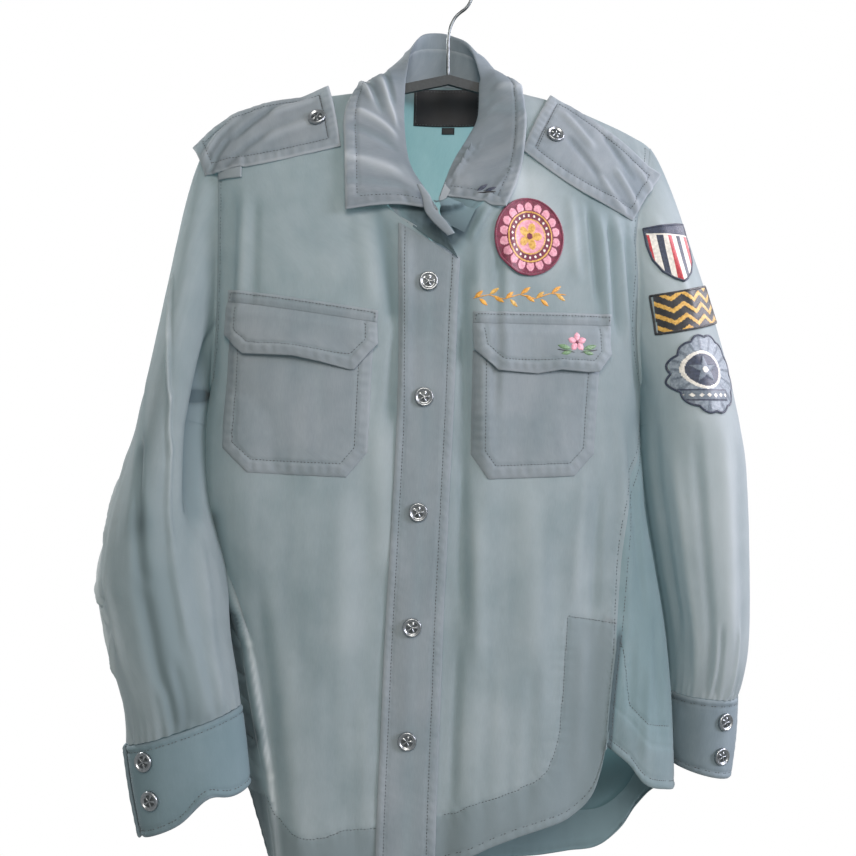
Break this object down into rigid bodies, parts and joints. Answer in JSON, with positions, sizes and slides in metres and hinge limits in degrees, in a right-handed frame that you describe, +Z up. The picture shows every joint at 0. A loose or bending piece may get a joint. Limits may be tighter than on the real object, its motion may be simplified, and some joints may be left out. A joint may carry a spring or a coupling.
{
  "type": "shirt jacket on a hanger",
  "caption": "Buttoned shirt jacket with a spread collar, shoulder straps, flapped chest pockets, embroidered badges and cuffed sleeves, hanging from a hanger with a wire hook.",
  "frame": {"origin": "inside top of the hanger hook, on the line where it bears on a rail", "axes": "+Z up, +Y from the front of the garment to its back, +X towards the wearer's left sleeve"},
  "size_m": [0.599, 0.1912, 0.8625],
  "materials": {
    "cloth": "blue-grey washed cotton, lightly wrinkled",
    "buttons": "domed shank button, satin silver",
    "chest_patch": "embroidered round badge",
    "hanger_bar": "slim dark hanger bar",
    "hanger_hook": "bent wire hook",
    "label": "woven blank label",
    "sleeve_patch_low": "embroidered badge",
    "sleeve_patch_middle": "embroidered badge",
    "sleeve_patch_top": "embroidered badge"
  },
  "bodies": {
    "root": {"back": "cloth", "button_cuff_left_1": "buttons", "button_cuff_left_2": "buttons", "button_cuff_right_1": "buttons", "button_cuff_right_2": "buttons", "button_front_1": "buttons", "button_front_2": "buttons", "button_front_3": "buttons", "button_front_4": "buttons", "button_front_5": "buttons", "button_strap_left": "buttons", "button_strap_right": "buttons", "chest_patch": "chest_patch", "collar_fall": "cloth", "collar_stand": "cloth", "cuff_left": "cloth", "cuff_right": "cloth", "flap_band_left": "cloth", "flap_band_right": "cloth", "flap_left": "cloth", "flap_right": "cloth", "front_left": "cloth", "front_right": "cloth", "hanger_bar": "hanger_bar", "hanger_hook": "hanger_hook", "loop_right": "cloth", "neck_label": "label", "placket_band": "cloth", "pocket_left": "cloth", "pocket_right": "cloth", "size_tab": "label", "sleeve_left": "cloth", "sleeve_patch_low": "sleeve_patch_low", "sleeve_patch_middle": "sleeve_patch_middle", "sleeve_patch_top": "sleeve_patch_top", "sleeve_right": "cloth", "strap_left": "cloth", "strap_right": "cloth"}
  },
  "joints": []
}
